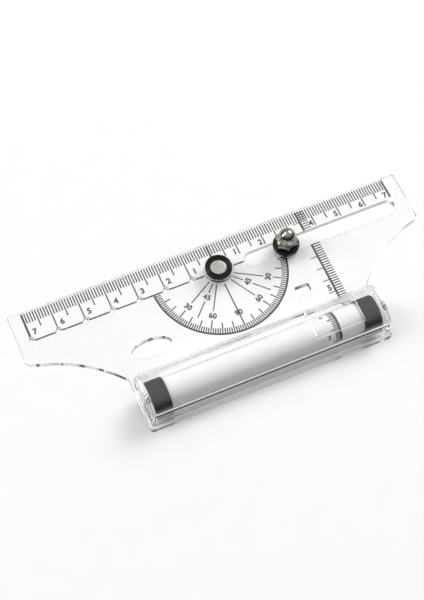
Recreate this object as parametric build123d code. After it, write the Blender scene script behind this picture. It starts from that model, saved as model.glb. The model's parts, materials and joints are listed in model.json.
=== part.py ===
from build123d import *
import math
import os

# Clear rolling ruler with protractor, compass pivot and radius slider. Millimetres, +Z up.
# Origin: middle of the ruler's length and depth, on the table that the rubber rings and the
# foot pad stand on. The scale edge faces +Y and the roller lies along X near the -Y edge.
# Places across the ruler are given as distances from the scale edge.

# Plate
RULER_LENGTH = 150.0
RULER_DEPTH = 58.75
PLATE_THICKNESS = 2.5
EDGE_THICKNESS = 1.2            # at the scale edge, where the bevel ends
BEVEL_WIDTH = 12.5
TABLE_GAP = 1.0                 # underside of the plate above the table
END_SIDE = 20.15                # straight side at each end of the plate
NOTCH_RADIUS = 52.0             # hollow curve from the end side down to the roller housing
END_CORNER_RADIUS = 2.5
SHOULDER_RADIUS = 1.2
FRONT_CORNER_RADIUS = 0.9
EDGE_CORNER_RADIUS = 0.5
RIM_CHAMFER = 0.2

# Roller: one turn of the rubber rings rolls the ruler this far
TRAVEL_PER_TURN = 40.0
RING_WIDTH = 6.4
RING_EDGE_RADIUS = 0.35
RING_THICKNESS = 1.116
TUBE_WALL = 1.2
ROLLER_LENGTH = 84.5            # over the plug flanges
PLUG_FLANGE = 0.8
PLUG_SPIGOT_LENGTH = 6.0
PIN_DIAMETER = 2.8
PIN_ENGAGEMENT = 5.0            # length of pin inside the plug
PIN_RECESS = 0.3                # outer end of the pin below the end wall's face
PIN_CHAMFER = 0.25
BORE_BEYOND_PIN = 0.4

# Roller cover
COVER_WALL = 1.35
COVER_END_WALL = 1.5
COVER_SHOULDER_RADIUS = 5.2     # outside, where the sides turn into the roof
RING_SIDE_GAP = 0.6
RING_ROOF_GAP = 0.9
RING_END_GAP = 0.65
COVER_END_ROUNDING = 1.1
HOUSING_RIM = 0.9               # plate showing in front of the cover
HOUSING_END_RIM = 0.6           # plate showing past each end of the cover
SHOULDER_BEHIND_COVER = 2.8     # the hollow curve ends this far behind the cover

# Reading window, a raised lens on the cover's roof
WINDOW_LENGTH = 18.2
WINDOW_END_SETBACK = 9.1        # from the cover's right end
WINDOW_RISE = 0.6
WINDOW_BACK_SETBACK = 2.5       # from the cover's back face
WINDOW_FRONT_SETBACK = 3.2      # from the cover's front face
WINDOW_EDGE_CHAMFER = 0.25

# Pencil holes and template holes
HOLE_LINE = 11.66               # baseline of the pencil holes, the pivot and the protractor
HOLE_PITCH = 10.0
HOLE_END_MARGIN = 5.0           # least distance from a hole's middle to the end of the plate
HOLE_WIDTH = 2.6
HOLE_DEPTH = 3.0
TEMPLATES_BEHIND_COVER = 10.82  # from the cover's back to the row of template holes
OVAL_X = -33.3
OVAL_SIZE = (14.8, 6.8)
RECTANGLE_X = 24.1
RECTANGLE_SIZE = (5.5, 3.1)
RECTANGLE_CORNER_RADIUS = 0.4

# Compass pivot
DISC_DIAMETER = 5.8
DISC_THICKNESS = 0.3
DISC_BELOW_HUB = 0.4
DISC_EDGE_CHAMFER = 0.1
HUB_LIP = 0.75                  # wall of the hub's cup round the disc
HUB_CUP_FLOOR = 0.25
HUB_BELOW_BEZEL = 0.1
HUB_SHANK_DIAMETER = 4.4
BEZEL_FLOOR = 0.35              # bezel left under the hub's head
BEZEL_LIP = 0.5                 # top of the bezel, round the hub
BEZEL_STEP_WIDTH = 0.7
BEZEL_STEP_HEIGHT = 0.25
SLEEVE_WALL = 0.7
BOSS_MARGIN = 0.55              # boss showing round the bezel
BOSS_RISE = 0.7
BOSS_CHAMFER = 0.25
RETAINER_WIDTH = 1.2            # washer outside the shank
RETAINER_THICKNESS = 0.4
PAD_EDGE_MARGIN = 0.15

# Radius slider
SLOT_START = 9.9                # left end of the slot, right of the pivot
SLOT_END_MARGIN = 5.4           # right end of the slot from the end of the plate
SLOT_WIDTH = 6.2
SLOT_CENTRE = 12.4              # from the scale edge
SLIDER_PLACE = 25.9             # slider centre as it stands now
SLIDER_DISC_OVERLAP = 1.65      # over the plate, each side of the slot
SLIDER_DISC_THICKNESS = 1.6
SLIDER_DISC_CHAMFER = 0.25
FOOT_OVERLAP = 1.2              # under the plate, each side of the slot
FOOT_THICKNESS = 0.7
SCREW_DIAMETER = 4.0
SCREW_HEAD_LIP = 0.7            # head wider than the screw, each side
SCREW_HEAD_THICKNESS = 0.4
SCREW_TIP_CHAMFER = 0.4
SCREW_TIP_GAP = 0.8             # from the screw's tip to the bottom of the nut's bore
NUT_FLATS = 7.0
NUT_HEX_HEIGHT = 3.2
NUT_SHOULDER = 0.25             # hexagon wider than the dome, each side
NUT_HEIGHT = 8.0
NUT_CROWN = 2.2                 # metal left over the bore
NUT_CORNER_CHAMFER = 0.45
NUT_ANGLE = 20.0

# Clearances
RUNNING_CLEARANCE = 0.05        # radial, between turning pieces
SLIDING_CLEARANCE = 0.10        # each side, guide in slot
FACE_CLEARANCE = 0.10           # between faces that turn or slide over each other
SEATED_CLEARANCE = 0.01         # pieces bonded or pressed together

OVERRUN = 1.0                   # cutting shapes run past the solid by this much
SAME_PLACE = 1e-4               # closer than this counts as the same height or place


def from_edge(distance):
    """Y of a line that lies this far in from the scale edge."""
    return RULER_DEPTH / 2 - distance


def disc(radius, bottom, top, x=0.0, y=0.0):
    """Upright cylinder between two heights."""
    return Pos(x, y, bottom) * Cylinder(
        radius, top - bottom, align=(Align.CENTER, Align.CENTER, Align.MIN)
    )


def shaft(radius, start, end):
    """Cylinder along the roller's axis between two places in X."""
    return Pos(start, ROLLER_Y, RING_RADIUS) * Rot(0, 90, 0) * Cylinder(
        radius, end - start, align=(Align.CENTER, Align.CENTER, Align.MIN)
    )


def edges_at_height(solid, height):
    """Edges of a solid that lie flat at one height."""
    return [
        edge
        for edge in solid.edges()
        if abs(edge.bounding_box().min.Z - height) < SAME_PLACE
        and abs(edge.bounding_box().max.Z - height) < SAME_PLACE
    ]


def edges_at_x(solid, place):
    """Edges of a solid that lie in one plane across the roller."""
    return [
        edge
        for edge in solid.edges()
        if abs(edge.bounding_box().min.X - place) < SAME_PLACE
        and abs(edge.bounding_box().max.X - place) < SAME_PLACE
    ]


# Heights and places that follow from the sizes above
PLATE_BOTTOM = TABLE_GAP
PLATE_TOP = PLATE_BOTTOM + PLATE_THICKNESS
RING_RADIUS = TRAVEL_PER_TURN / (2 * math.pi)
TUBE_RADIUS = RING_RADIUS - RING_THICKNESS
PIN_RADIUS = PIN_DIAMETER / 2
CAVITY_HALF_WIDTH = RING_RADIUS + RING_SIDE_GAP
CAVITY_ROOF = 2 * RING_RADIUS + RING_ROOF_GAP
CAVITY_HALF_LENGTH = ROLLER_LENGTH / 2 + RING_END_GAP
COVER_HALF_WIDTH = CAVITY_HALF_WIDTH + COVER_WALL
COVER_ROOF = CAVITY_ROOF + COVER_WALL
COVER_HALF_LENGTH = CAVITY_HALF_LENGTH + COVER_END_WALL
HOUSING_HALF_LENGTH = COVER_HALF_LENGTH + HOUSING_END_RIM
ROLLER_Y = from_edge(RULER_DEPTH - HOUSING_RIM - COVER_HALF_WIDTH)
COVER_BACK_Y = ROLLER_Y + COVER_HALF_WIDTH
COVER_FRONT_Y = ROLLER_Y - COVER_HALF_WIDTH
TEMPLATE_Y = COVER_BACK_Y + TEMPLATES_BEHIND_COVER
PIVOT_Y = from_edge(HOLE_LINE)
SLOT_Y = from_edge(SLOT_CENTRE)
SLOT_END = RULER_LENGTH / 2 - SLOT_END_MARGIN
HOLE_COUNT = int((RULER_LENGTH / 2 - HOLE_END_MARGIN) / HOLE_PITCH)

# The pivot's pieces fit inside each other, from the disc out to the boss
DISC_RADIUS = DISC_DIAMETER / 2
HUB_RADIUS = DISC_RADIUS + HUB_LIP
BEZEL_STEP_RADIUS = HUB_RADIUS + BEZEL_LIP
BEZEL_RADIUS = BEZEL_STEP_RADIUS + BEZEL_STEP_WIDTH
BOSS_RADIUS = BEZEL_RADIUS + BOSS_MARGIN
SHANK_RADIUS = HUB_SHANK_DIAMETER / 2
SLEEVE_INNER_RADIUS = SHANK_RADIUS + RUNNING_CLEARANCE
SLEEVE_OUTER_RADIUS = SLEEVE_INNER_RADIUS + SLEEVE_WALL
RETAINER_RADIUS = SHANK_RADIUS + RETAINER_WIDTH

# The pivot's stack: the foot below the plate, then from the boss up
RETAINER_TOP = PLATE_BOTTOM - FACE_CLEARANCE
RETAINER_BOTTOM = RETAINER_TOP - RETAINER_THICKNESS
BOSS_TOP = PLATE_TOP + BOSS_RISE
HUB_SEAT = BOSS_TOP + BEZEL_FLOOR
HUB_HEAD_BOTTOM = HUB_SEAT + FACE_CLEARANCE
HUB_CUP_BOTTOM = HUB_HEAD_BOTTOM + HUB_CUP_FLOOR
DISC_FACE = HUB_CUP_BOTTOM + DISC_THICKNESS
HUB_TOP = DISC_FACE + DISC_BELOW_HUB
BEZEL_TOP = HUB_TOP + HUB_BELOW_BEZEL

# The slider's stack, from the table up
FOOT_TOP = PLATE_BOTTOM - FACE_CLEARANCE
FOOT_BOTTOM = FOOT_TOP - FOOT_THICKNESS
SCREW_HEAD_TOP = FOOT_BOTTOM + SCREW_HEAD_THICKNESS
SLIDER_DISC_BOTTOM = PLATE_TOP + FACE_CLEARANCE
SLIDER_DISC_TOP = SLIDER_DISC_BOTTOM + SLIDER_DISC_THICKNESS
NUT_BORE_TOP = SLIDER_DISC_TOP + NUT_HEIGHT - NUT_CROWN
SCREW_TIP = NUT_BORE_TOP - SCREW_TIP_GAP
SCREW_RADIUS = SCREW_DIAMETER / 2
SCREW_HEAD_RADIUS = SCREW_RADIUS + SCREW_HEAD_LIP
NUT_DOME_RADIUS = NUT_FLATS / 2 - NUT_SHOULDER


def plate_outline():
    """Plan of the plate: a long head for the scale and a narrower tongue for the roller."""
    half = RULER_LENGTH / 2
    top = from_edge(0)
    front = from_edge(RULER_DEPTH)
    end_y = from_edge(END_SIDE)
    shoulder_y = COVER_BACK_Y + SHOULDER_BEHIND_COVER
    tongue = HOUSING_HALF_LENGTH
    lines = [
        Line((-half, top), (half, top)),
        Line((half, top), (half, end_y)),
        RadiusArc((half, end_y), (tongue, shoulder_y), -NOTCH_RADIUS),
        Line((tongue, shoulder_y), (tongue, front)),
        Line((tongue, front), (-tongue, front)),
        Line((-tongue, front), (-tongue, shoulder_y)),
        RadiusArc((-tongue, shoulder_y), (-half, end_y), -NOTCH_RADIUS),
        Line((-half, end_y), (-half, top)),
    ]
    outline = make_face(Wire(lines))
    for corner_y, radius in (
        (top, EDGE_CORNER_RADIUS),
        (end_y, END_CORNER_RADIUS),
        (shoulder_y, SHOULDER_RADIUS),
        (front, FRONT_CORNER_RADIUS),
    ):
        corners = [v for v in outline.vertices() if abs(v.Y - corner_y) < SAME_PLACE]
        outline = fillet(corners, radius)
    return outline


def bevel_cutter():
    """Wedge above the sloping top face that thins the plate towards the scale edge."""
    drop = PLATE_THICKNESS - EDGE_THICKNESS
    slope = drop / BEVEL_WIDTH
    past_edge = from_edge(-OVERRUN)
    profile = make_face(
        Polyline(
            (from_edge(BEVEL_WIDTH), PLATE_TOP),
            (past_edge, PLATE_TOP - drop - slope * OVERRUN),
            (past_edge, PLATE_TOP + OVERRUN),
            (from_edge(BEVEL_WIDTH), PLATE_TOP + OVERRUN),
            close=True,
        )
    )
    length = RULER_LENGTH + 2 * OVERRUN
    return Pos(-length / 2, 0, 0) * extrude(Plane.YZ * profile, length)


def plate_holes():
    """Plan of everything that goes right through the plate."""
    half_width = HOLE_WIDTH / 2
    half_depth = HOLE_DEPTH / 2
    diamond = make_face(
        Polyline((-half_width, 0), (0, half_depth), (half_width, 0), (0, -half_depth), close=True)
    )
    holes = [Pos(-HOLE_PITCH * (i + 1), PIVOT_Y) * diamond for i in range(HOLE_COUNT)]
    slot_middle = (SLOT_START + SLOT_END) / 2
    slot = Pos(slot_middle, SLOT_Y) * SlotOverall(SLOT_END - SLOT_START, SLOT_WIDTH)
    oval = Pos(OVAL_X, TEMPLATE_Y) * Ellipse(OVAL_SIZE[0] / 2, OVAL_SIZE[1] / 2)
    rectangle = RectangleRounded(*RECTANGLE_SIZE, RECTANGLE_CORNER_RADIUS)
    rectangle = Pos(RECTANGLE_X, TEMPLATE_Y) * rectangle
    window = Pos(0, ROLLER_Y) * Rectangle(2 * CAVITY_HALF_LENGTH, 2 * CAVITY_HALF_WIDTH)
    return holes + [slot, oval, rectangle, window]


def ruler_plate():
    """Clear plate with its bevel, holes, roller window and pivot boss."""
    body = Pos(0, 0, PLATE_BOTTOM) * extrude(plate_outline(), PLATE_THICKNESS)
    body -= bevel_cutter()
    body = chamfer(edges_at_height(body, PLATE_BOTTOM), RIM_CHAMFER)
    boss = disc(BOSS_RADIUS, PLATE_BOTTOM + EDGE_THICKNESS / 2, BOSS_TOP, y=PIVOT_Y)
    body += chamfer(edges_at_height(boss, BOSS_TOP), BOSS_CHAMFER)
    for hole in plate_holes():
        body -= Pos(0, 0, PLATE_BOTTOM - OVERRUN) * extrude(hole, PLATE_THICKNESS + 2 * OVERRUN)
    bore = SLEEVE_OUTER_RADIUS + SEATED_CLEARANCE
    return body - disc(bore, PLATE_BOTTOM - OVERRUN, BOSS_TOP + OVERRUN, y=PIVOT_Y)


def arch(half_width, roof, shoulder_radius, half_length):
    """Solid tunnel shape standing on the plate, with rounded shoulders."""
    height = roof - PLATE_TOP
    section = Pos(ROLLER_Y, PLATE_TOP + height / 2) * Rectangle(2 * half_width, height)
    corners = [v for v in section.vertices() if abs(v.Y - roof) < SAME_PLACE]
    section = fillet(corners, shoulder_radius)
    return Pos(-half_length, 0, 0) * extrude(Plane.YZ * section, 2 * half_length)


def roller_cover():
    """Clear tunnel over the roller, closed at both ends, with a hole for each axle pin."""
    shell = arch(COVER_HALF_WIDTH, COVER_ROOF, COVER_SHOULDER_RADIUS, COVER_HALF_LENGTH)
    base = edges_at_height(shell, PLATE_TOP)
    ends = []
    for side in (-1, 1):
        for edge in edges_at_x(shell, side * COVER_HALF_LENGTH):
            if not any(edge.center() == other.center() for other in base):
                ends.append(edge)
    shell = fillet(ends, COVER_END_ROUNDING)
    cavity_shoulder = COVER_SHOULDER_RADIUS - COVER_WALL
    shell -= arch(CAVITY_HALF_WIDTH, CAVITY_ROOF, cavity_shoulder, CAVITY_HALF_LENGTH)
    past_end = COVER_HALF_LENGTH + OVERRUN
    return shell - shaft(PIN_RADIUS + SEATED_CLEARANCE, -past_end, past_end)


def reading_window():
    """Flat clear lens bonded over the roof where the roller's scale is read."""
    back = COVER_BACK_Y - WINDOW_BACK_SETBACK
    front = COVER_FRONT_Y + WINDOW_FRONT_SETBACK
    middle_x = COVER_HALF_LENGTH - WINDOW_END_SETBACK - WINDOW_LENGTH / 2
    top = COVER_ROOF + WINDOW_RISE
    block = Pos(middle_x, (back + front) / 2, (CAVITY_ROOF + top) / 2) * Box(
        WINDOW_LENGTH, back - front, top - CAVITY_ROOF
    )
    block = chamfer(edges_at_height(block, top), WINDOW_EDGE_CHAMFER)
    under = arch(
        COVER_HALF_WIDTH + SEATED_CLEARANCE,
        COVER_ROOF + SEATED_CLEARANCE,
        COVER_SHOULDER_RADIUS + SEATED_CLEARANCE,
        COVER_HALF_LENGTH,
    )
    return block - under


def roller_tube():
    """White tube that carries the roller's scale."""
    half = ROLLER_LENGTH / 2 - PLUG_FLANGE
    outer = shaft(TUBE_RADIUS, -half, half)
    return outer - shaft(TUBE_RADIUS - TUBE_WALL, -half - OVERRUN, half + OVERRUN)


def rubber_ring(side):
    """Rubber ring stretched over one end of the tube; it grips the paper."""
    outer_end = side * ROLLER_LENGTH / 2
    inner_end = side * (ROLLER_LENGTH / 2 - RING_WIDTH)
    start, end = sorted((outer_end, inner_end))
    ring = shaft(RING_RADIUS, start, end)
    ring = fillet(ring.edges().filter_by(GeomType.CIRCLE), RING_EDGE_RADIUS)
    return ring - shaft(TUBE_RADIUS + SEATED_CLEARANCE, start - OVERRUN, end + OVERRUN)


def end_plug(side):
    """Plug in one end of the tube, bored for its axle pin."""
    face = side * ROLLER_LENGTH / 2
    flange_back = side * (ROLLER_LENGTH / 2 - PLUG_FLANGE)
    spigot_end = side * (ROLLER_LENGTH / 2 - PLUG_FLANGE - PLUG_SPIGOT_LENGTH)
    bore_end = side * (ROLLER_LENGTH / 2 - PIN_ENGAGEMENT - BORE_BEYOND_PIN)
    flange = shaft(TUBE_RADIUS, *sorted((face, flange_back)))
    spigot_radius = TUBE_RADIUS - TUBE_WALL - SEATED_CLEARANCE
    spigot = shaft(spigot_radius, *sorted((flange_back, spigot_end)))
    mouth = face + side * OVERRUN
    bore = shaft(PIN_RADIUS + RUNNING_CLEARANCE, *sorted((mouth, bore_end)))
    return flange + spigot - bore


def axle_pin(side):
    """Steel pin held in one end wall of the cover; the roller turns on it."""
    outer = side * (COVER_HALF_LENGTH - PIN_RECESS)
    inner = side * (ROLLER_LENGTH / 2 - PIN_ENGAGEMENT)
    pin = shaft(PIN_RADIUS, *sorted((outer, inner)))
    return chamfer(pin.edges().filter_by(GeomType.CIRCLE), PIN_CHAMFER)


def pivot_bezel():
    """Black ring on the boss, with the sleeve that the hub turns in."""
    ring = disc(BEZEL_RADIUS, BOSS_TOP, BEZEL_TOP - BEZEL_STEP_HEIGHT, y=PIVOT_Y)
    ring += disc(BEZEL_STEP_RADIUS, BOSS_TOP, BEZEL_TOP, y=PIVOT_Y)
    ring += disc(SLEEVE_OUTER_RADIUS, PLATE_BOTTOM, BOSS_TOP, y=PIVOT_Y)
    ring -= disc(HUB_RADIUS + FACE_CLEARANCE, HUB_SEAT, BEZEL_TOP + OVERRUN, y=PIVOT_Y)
    return ring - disc(SLEEVE_INNER_RADIUS, PLATE_BOTTOM - OVERRUN, BEZEL_TOP, y=PIVOT_Y)


def pivot_hub():
    """Turning hub: a cupped head in the bezel and a shank down to the foot."""
    hub = disc(HUB_RADIUS, HUB_HEAD_BOTTOM, HUB_TOP, y=PIVOT_Y)
    hub += disc(SHANK_RADIUS, RETAINER_BOTTOM, HUB_HEAD_BOTTOM, y=PIVOT_Y)
    cup_radius = DISC_RADIUS + SEATED_CLEARANCE
    return hub - disc(cup_radius, HUB_CUP_BOTTOM, HUB_TOP + OVERRUN, y=PIVOT_Y)


def pivot_disc():
    """Nickel disc set in the hub's cup."""
    plate = disc(DISC_RADIUS, HUB_CUP_BOTTOM, DISC_FACE, y=PIVOT_Y)
    return chamfer(edges_at_height(plate, DISC_FACE), DISC_EDGE_CHAMFER)


def pivot_retainer():
    """Push-on washer that keeps the hub in its sleeve."""
    washer = disc(RETAINER_RADIUS, RETAINER_BOTTOM, RETAINER_TOP, y=PIVOT_Y)
    bore = SHANK_RADIUS + SEATED_CLEARANCE
    return washer - disc(bore, RETAINER_BOTTOM - OVERRUN, RETAINER_TOP + OVERRUN, y=PIVOT_Y)


def foot_pad():
    """Rubber pad under the hub: it stays put on the paper while the ruler swings."""
    return disc(RETAINER_RADIUS - PAD_EDGE_MARGIN, 0, RETAINER_BOTTOM, y=PIVOT_Y)


def slider_shape(radius, bottom, top):
    """Upright cylinder on the slider's axis."""
    return disc(radius, bottom, top, x=SLIDER_PLACE, y=SLOT_Y)


def slider_bore():
    """Hole through the slider's pieces for the screw."""
    radius = SCREW_RADIUS + RUNNING_CLEARANCE
    return slider_shape(radius, FOOT_BOTTOM - OVERRUN, SLIDER_DISC_TOP + OVERRUN)


def slider_foot():
    """Clear washer under the slot, sunk for the screw's head."""
    washer = slider_shape(SLOT_WIDTH / 2 + FOOT_OVERLAP, FOOT_BOTTOM, FOOT_TOP)
    sink_radius = SCREW_HEAD_RADIUS + SEATED_CLEARANCE
    sink = slider_shape(sink_radius, FOOT_BOTTOM - OVERRUN, SCREW_HEAD_TOP)
    return washer - sink - slider_bore()


def slider_guide():
    """Bush that fills the slot's width and keeps the slider square."""
    radius = SLOT_WIDTH / 2 - SLIDING_CLEARANCE
    return slider_shape(radius, FOOT_TOP, SLIDER_DISC_BOTTOM) - slider_bore()


def slider_disc():
    """Black disc that the cap nut clamps down on the plate."""
    radius = SLOT_WIDTH / 2 + SLIDER_DISC_OVERLAP
    washer = slider_shape(radius, SLIDER_DISC_BOTTOM, SLIDER_DISC_TOP)
    washer = chamfer(edges_at_height(washer, SLIDER_DISC_TOP), SLIDER_DISC_CHAMFER)
    return washer - slider_bore()


def slider_screw():
    """Screw that comes up through the slot, with a thin flat head."""
    head = slider_shape(SCREW_HEAD_RADIUS, FOOT_BOTTOM, SCREW_HEAD_TOP)
    shank = slider_shape(SCREW_RADIUS, FOOT_BOTTOM, SCREW_TIP)
    return head + chamfer(edges_at_height(shank, SCREW_TIP), SCREW_TIP_CHAMFER)


def cap_nut():
    """Domed cap nut: a hexagon with turned corners under a cylinder and a half ball."""
    corner_radius = NUT_FLATS / 2 / math.cos(math.pi / 6)
    place = Pos(SLIDER_PLACE, SLOT_Y, SLIDER_DISC_TOP) * Rot(0, 0, NUT_ANGLE)
    hexagon = place * extrude(RegularPolygon(corner_radius, 6), NUT_HEX_HEIGHT)
    turned = slider_shape(corner_radius, SLIDER_DISC_TOP, SLIDER_DISC_TOP + NUT_HEX_HEIGHT)
    rims = turned.edges().filter_by(GeomType.CIRCLE)
    hexagon &= chamfer(rims, NUT_CORNER_CHAMFER)
    ball_height = SLIDER_DISC_TOP + NUT_HEIGHT - NUT_DOME_RADIUS
    nut = hexagon + slider_shape(NUT_DOME_RADIUS, SLIDER_DISC_TOP, ball_height)
    nut += Pos(SLIDER_PLACE, SLOT_Y, ball_height) * Sphere(NUT_DOME_RADIUS)
    bore_radius = SCREW_RADIUS + RUNNING_CLEARANCE
    return nut - slider_shape(bore_radius, SLIDER_DISC_TOP - OVERRUN, NUT_BORE_TOP)


SIDES = (("left", -1), ("right", 1))

parts = {
    "ruler_plate": ruler_plate(),
    "roller_cover": roller_cover(),
    "reading_window": reading_window(),
    "roller_tube": roller_tube(),
    "pivot_bezel": pivot_bezel(),
    "pivot_hub": pivot_hub(),
    "pivot_disc": pivot_disc(),
    "pivot_retainer": pivot_retainer(),
    "foot_pad": foot_pad(),
    "slider_foot": slider_foot(),
    "slider_guide": slider_guide(),
    "slider_disc": slider_disc(),
    "slider_screw": slider_screw(),
    "cap_nut": cap_nut(),
}
for side_name, side in SIDES:
    parts[f"rubber_ring_{side_name}"] = rubber_ring(side)
    parts[f"end_plug_{side_name}"] = end_plug(side)
    parts[f"axle_pin_{side_name}"] = axle_pin(side)

os.makedirs("parts", exist_ok=True)
for name, shape in parts.items():
    export_step(shape, f"parts/{name}.step")
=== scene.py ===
import json
import logging
import math
from dataclasses import asdict, dataclass
from enum import Enum
from typing import Any, Iterable, Optional, Sequence

import bmesh
import bpy
from bpy.types import Mesh, NodeTree, Object
from bpy.types import NodeSocket as Socket
from mathutils import Matrix, Quaternion, Vector

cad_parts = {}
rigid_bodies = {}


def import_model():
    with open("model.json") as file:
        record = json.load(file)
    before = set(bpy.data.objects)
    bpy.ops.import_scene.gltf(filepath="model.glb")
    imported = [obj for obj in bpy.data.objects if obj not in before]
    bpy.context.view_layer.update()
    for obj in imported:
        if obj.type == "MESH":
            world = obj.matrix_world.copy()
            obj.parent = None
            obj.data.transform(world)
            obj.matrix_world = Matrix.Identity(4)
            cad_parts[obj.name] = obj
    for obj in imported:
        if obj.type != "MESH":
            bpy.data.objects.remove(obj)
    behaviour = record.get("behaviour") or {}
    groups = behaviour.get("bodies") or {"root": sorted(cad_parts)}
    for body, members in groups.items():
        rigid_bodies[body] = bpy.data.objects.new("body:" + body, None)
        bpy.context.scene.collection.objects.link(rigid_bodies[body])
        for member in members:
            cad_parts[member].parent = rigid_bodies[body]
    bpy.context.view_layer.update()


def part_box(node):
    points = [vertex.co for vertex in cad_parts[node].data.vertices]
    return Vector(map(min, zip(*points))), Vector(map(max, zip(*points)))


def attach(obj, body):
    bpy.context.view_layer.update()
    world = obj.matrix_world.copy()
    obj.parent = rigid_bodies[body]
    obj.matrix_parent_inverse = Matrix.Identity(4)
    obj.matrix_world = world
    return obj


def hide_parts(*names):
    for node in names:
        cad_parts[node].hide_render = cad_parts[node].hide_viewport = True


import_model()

MM = 0.001
FILM = 0.02 * MM                # thickness of a printed mark
INK_GAP = 0.005 * MM            # between a mark and the plastic that it is printed on
SEAT_GAP = 0.01 * MM            # keeps a face out of the plane of its seat
SAME_POINT = 0.002 * MM         # corners of a mesh nearer than this are one
ROUND_STEPS = 3                 # flats across a rounded edge or a bit of a numeral's curve
ON_AXIS = 1e-7                  # a smaller radius counts as none
NOISE_MIDDLE = (0.3, 0.7)       # most of a noise's values lie between these
CAP_SHARE = 0.7                 # height of a numeral as a share of the font's size
BOLDNESS = 0.042                # strokes thickened each side by this share of the font's size
PER_CENTIMETRE = 10.0           # millimetres

log = logging.getLogger("rolling_ruler")


class Body(Enum):
    """Moving bodies of the ruler, as the record names them."""

    RULER = "ruler"
    ROLLER = "roller"
    PIVOT = "pivot"
    SLIDER = "slider"
    NUT = "nut"


class Slot(Enum):
    """Material slots of the record."""

    CLEAR = "clear_plastic"
    WHITE = "white_plastic"
    RUBBER = "black_rubber"
    BLACK = "black_plastic"
    NICKEL = "nickel"
    STEEL = "steel"


class Side(Enum):
    """End of the roller, with the sign of its X."""

    LEFT = -1
    RIGHT = 1

    @property
    def word(self) -> str:
        """The side's name in lower case, as node names use it."""
        return self.name.lower()


# ---------------------------------------------------------------- node trees


class NodeBench:
    """Adds nodes to one tree and wires them up by socket name."""

    def __init__(self, tree: NodeTree) -> None:
        self.tree = tree

    def add(self, kind: str, inputs: Optional[dict] = None, **settings: Any) -> bpy.types.Node:
        """Makes a node.

        Args:
            kind: Blender's type name of the node.
            inputs: value or output socket for each input, by its name or number.
            settings: attributes of the node itself.

        Returns:
            The node.
        """
        node = self.tree.nodes.new(kind)
        for name, value in settings.items():
            setattr(node, name, value)
        for name, value in (inputs or {}).items():
            socket = node.inputs[name]
            if isinstance(value, Socket):
                self.tree.links.new(value, socket)
            else:
                socket.default_value = value
        return node

    def out(self, kind: str, inputs: Optional[dict] = None, **settings: Any) -> Socket:
        """The first output of a node that is made as add makes it."""
        return self.add(kind, inputs, **settings).outputs[0]

    def maths(self, operation: str, *values: Any) -> Socket:
        """A Math node's result for numbers or sockets."""
        return self.out("ShaderNodeMath", dict(enumerate(values)), operation=operation)

    def vector(self, operation: str, *values: Any) -> Socket:
        """A Vector Math node's vector result."""
        inputs = dict(enumerate(values))
        return self.out("ShaderNodeVectorMath", inputs, operation=operation)

    def scaled(self, vector: Any, by: Any) -> Socket:
        """A vector times a number."""
        node = self.add("ShaderNodeVectorMath", {0: vector, "Scale": by}, operation="SCALE")
        return node.outputs[0]


class Finish:
    """Base of the finishes: makes one material and fills its node tree once."""

    name: str
    slot: Optional[Slot]

    def material(self) -> bpy.types.Material:
        """The finish's material, made when it is first asked for."""
        found = bpy.data.materials.get(self.name)
        if found is None:
            found = bpy.data.materials.new(self.name)
            found.use_nodes = True
            found.node_tree.nodes.clear()
            bench = NodeBench(found.node_tree)
            shown = {"Surface": self.surface(bench)}
            inside = self.inside(bench)
            if inside is not None:
                shown["Volume"] = inside
            bench.add("ShaderNodeOutputMaterial", shown)
        return found

    def inside(self, bench: NodeBench) -> Optional[Socket]:
        """The volume socket of a finish that light passes into."""
        return None

    def surface(self, bench: NodeBench) -> Socket:
        """The shader socket of the finish."""
        raise NotImplementedError

    @staticmethod
    def noise(
        bench: NodeBench,
        scale: float,
        detail: float = 3.0,
        stretch: Sequence[float] = (1.0, 1.0, 1.0),
    ) -> Socket:
        """Noise in the piece's own coordinates.

        Args:
            bench: node tree to add to.
            scale: repeats in a metre.
            detail: octaves.
            stretch: share of the scale along each axis.

        Returns:
            The noise value's socket.
        """
        coords = bench.add("ShaderNodeTexCoord").outputs["Object"]
        placed = bench.out("ShaderNodeMapping", {"Vector": coords, "Scale": stretch})
        inputs = {"Vector": placed, "Scale": scale, "Detail": detail}
        return bench.out("ShaderNodeTexNoise", inputs)

    @staticmethod
    def span(bench: NodeBench, value: Socket, low: float, high: float) -> Socket:
        """Maps the middle of a noise value onto a range."""
        usual = {"From Min": NOISE_MIDDLE[0], "From Max": NOISE_MIDDLE[1]}
        inputs = {"Value": value, **usual, "To Min": low, "To Max": high}
        return bench.out("ShaderNodeMapRange", inputs)

    @staticmethod
    def blend(
        bench: NodeBench,
        factor: Socket,
        first: Sequence[float],
        second: Sequence[float],
    ) -> Socket:
        """A colour between two, by a factor."""
        node = bench.add("ShaderNodeMix", {"Factor": factor}, data_type="RGBA")
        node.inputs[6].default_value = (*first, 1.0)
        node.inputs[7].default_value = (*second, 1.0)
        return node.outputs[2]

    @staticmethod
    def bump(
        bench: NodeBench,
        height: Socket,
        distance: float,
        strength: float,
        under: Optional[Socket] = None,
    ) -> Socket:
        """Normals bent by a height map, over a finer bump where there is one."""
        inputs = {"Height": height, "Distance": distance, "Strength": strength}
        if under is not None:
            inputs["Normal"] = under
        return bench.out("ShaderNodeBump", inputs)


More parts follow.
